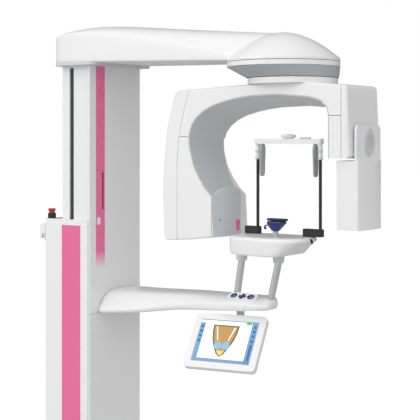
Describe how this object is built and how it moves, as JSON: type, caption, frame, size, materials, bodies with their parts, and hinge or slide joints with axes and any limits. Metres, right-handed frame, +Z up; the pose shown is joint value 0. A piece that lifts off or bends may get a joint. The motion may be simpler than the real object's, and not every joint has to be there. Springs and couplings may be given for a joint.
{
  "type": "panoramic dental x-ray machine",
  "caption": "Floor-standing panoramic dental X-ray machine: telescopic column, rotating C-arm on an eccentric turret, patient table with temple supports, and a tilting touch screen.",
  "frame": {"origin": "centre of the four floor anchors, on the floor under the column's centre", "axes": "+X the way the arms reach, -Y the operator's side with the keys and the screen, +Z up"},
  "size_m": [1.288, 0.62, 2.007],
  "materials": {
    "shell": "satin moulded",
    "column_paint": "white powder coat",
    "grey_shell": "fine matt",
    "pink": "gloss",
    "blue": "satin",
    "black": "matt",
    "red": "gloss",
    "steel_plate": "powder coat",
    "steel": "brushed",
    "aluminium": "anodised",
    "cast": "painted",
    "bronze": "machined",
    "rubber": "matt",
    "pad": "soft touch",
    "motor_case": "matt"
  },
  "bodies": {
    "root": {"base_plate": "steel_plate", "foot_brackets": "steel_plate", "stationary_column": "column_paint", "side_stripes": "pink", "column_cap": "shell", "wall_bracket": "steel_plate", "hand_switch_hook": "shell", "estop_base": "black", "lift_motor": "motor_case", "screw_bearings": "steel", "guide_rails": "steel", "mains_inlet": "black"},
    "estop": {"estop_button": "red"},
    "screw": {"lift_screw": "steel"},
    "carriage": {"telescopic_column": "column_paint", "front_cover_upper": "shell", "front_cover_lower": "shell", "front_stripe": "pink", "lift_nut": "bronze", "guide_blocks": "aluminium", "top_collar": "grey_shell", "shoulder_frame": "aluminium", "shoulder_cover": "shell", "dome_cover": "shell", "lower_arm_frame": "aluminium", "lower_arm_cover": "shell", "arm_end_cap": "shell", "keypad_panel": "shell", "handle_posts": "aluminium", "post_sockets": "pad", "patient_table": "shell", "temple_rods": "black", "temple_bar": "shell"},
    "turret": {"turret_ring": "shell", "turret_cone": "grey_shell", "rotation_motor": "motor_case"},
    "roller": {"drive_roller": "rubber"},
    "c_arm": {"arm_neck": "shell", "arm_frame": "aluminium", "beam_cover": "shell", "tube_head_cover": "shell", "tube_rear_cover": "shell", "arm_liner": "grey_shell", "tube_housing": "cast", "collimator_nose": "grey_shell", "sensor_arm_cover": "shell", "sensor_end_cover": "shell", "sensor_mount": "grey_shell"},
    "sensor": {"sensor_head": "shell"},
    "sensor_lock": {"sensor_knob": "grey_shell"},
    "left_key": {"key_left": "blue"},
    "centre_key": {"key_centre": "blue"},
    "right_key": {"key_right": "blue"},
    "temple_dial": {"temple_knob": "shell"},
    "left_pad": {"temple_pad_left": "pad"},
    "right_pad": {"temple_pad_right": "pad"},
    "chin": {"chin_post": "pad", "chin_rest": "blue"},
    "screen_turn": {"screen_pivot": "grey_shell"},
    "screen": {"screen_housing": "shell"}
  },
  "joints": [
    {"name": "column_lift", "type": "slide", "parent": "root", "child": "carriage", "axis": [0, 0, 1], "range_m": [-0.42, 0.42]},
    {"name": "screw_turn", "type": "hinge", "parent": "root", "child": "screw", "pos_m": [-0.06, 0, 0.7], "axis": [0, 0, 1], "range_deg": [-7600, 7600]},
    {"name": "estop_press", "type": "slide", "parent": "root", "child": "estop", "axis": [0, 0, -1], "range_m": [0, 0.005], "stiffness_N_per_m": 600, "springref_m": -0.002},
    {"name": "turret_swing", "type": "hinge", "parent": "carriage", "child": "turret", "pos_m": [0.815, 0, 1.845], "axis": [0, 0, 1], "range_deg": [-15, 15]},
    {"name": "arm_rotation", "type": "hinge", "parent": "turret", "child": "c_arm", "pos_m": [0.85, 0, 1.8], "axis": [0, 0, 1], "range_deg": [-105, 105]},
    {"name": "roller_turn", "type": "hinge", "parent": "turret", "child": "roller", "pos_m": [0.76, 0, 1.808], "axis": [0, 0, 1], "range_deg": [-430, 430]},
    {"name": "sensor_pull", "type": "slide", "parent": "c_arm", "child": "sensor", "axis": [1, 0, 0], "range_m": [0, 0.05]},
    {"name": "sensor_unlock", "type": "hinge", "parent": "sensor", "child": "sensor_lock", "pos_m": [1.1275, 0, 1.597], "axis": [1, 0, 0], "range_deg": [0, 90]},
    {"name": "temple_width", "type": "slide", "parent": "carriage", "child": "left_pad", "axis": [1, 0, 0], "range_m": [0, 0.025]},
    {"name": "right_pad_slide", "type": "slide", "parent": "carriage", "child": "right_pad", "axis": [-1, 0, 0], "range_m": [-0.0002, 0.0252]},
    {"name": "temple_dial_turn", "type": "hinge", "parent": "carriage", "child": "temple_dial", "pos_m": [0.85, -0.025, 1.6], "axis": [0, 0, 1], "range_deg": [-1, 181]},
    {"name": "chin_height", "type": "slide", "parent": "carriage", "child": "chin", "axis": [0, 0, 1], "range_m": [0, 0.025]},
    {"name": "screen_pan", "type": "hinge", "parent": "carriage", "child": "screen_turn", "pos_m": [0.66, -0.018, 1.01], "axis": [0, 0, 1], "range_deg": [-15, 15]},
    {"name": "screen_tilt", "type": "hinge", "parent": "screen_turn", "child": "screen", "pos_m": [0.655, -0.054, 0.992], "axis": [0.9816, 0.1908, 0], "range_deg": [-15, 20]},
    {"name": "left_key_press", "type": "slide", "parent": "carriage", "child": "left_key", "axis": [0, 0.4695, -0.8829], "range_m": [0, 0.0012], "stiffness_N_per_m": 600, "springref_m": -0.001},
    {"name": "centre_key_press", "type": "slide", "parent": "carriage", "child": "centre_key", "axis": [0, 0.4695, -0.8829], "range_m": [0, 0.0012], "stiffness_N_per_m": 600, "springref_m": -0.001},
    {"name": "right_key_press", "type": "slide", "parent": "carriage", "child": "right_key", "axis": [0, 0.4695, -0.8829], "range_m": [0, 0.0012], "stiffness_N_per_m": 600, "springref_m": -0.001}
  ],
  "couplings": [
    {"joint": "screw_turn", "follows": "column_lift", "rad_per_m": 314.16},
    {"joint": "roller_turn", "follows": "arm_rotation", "ratio": -4},
    {"joint": "right_pad_slide", "follows": "temple_width", "ratio": 1},
    {"joint": "temple_dial_turn", "follows": "temple_width", "rad_per_m": 125.66}
  ]
}
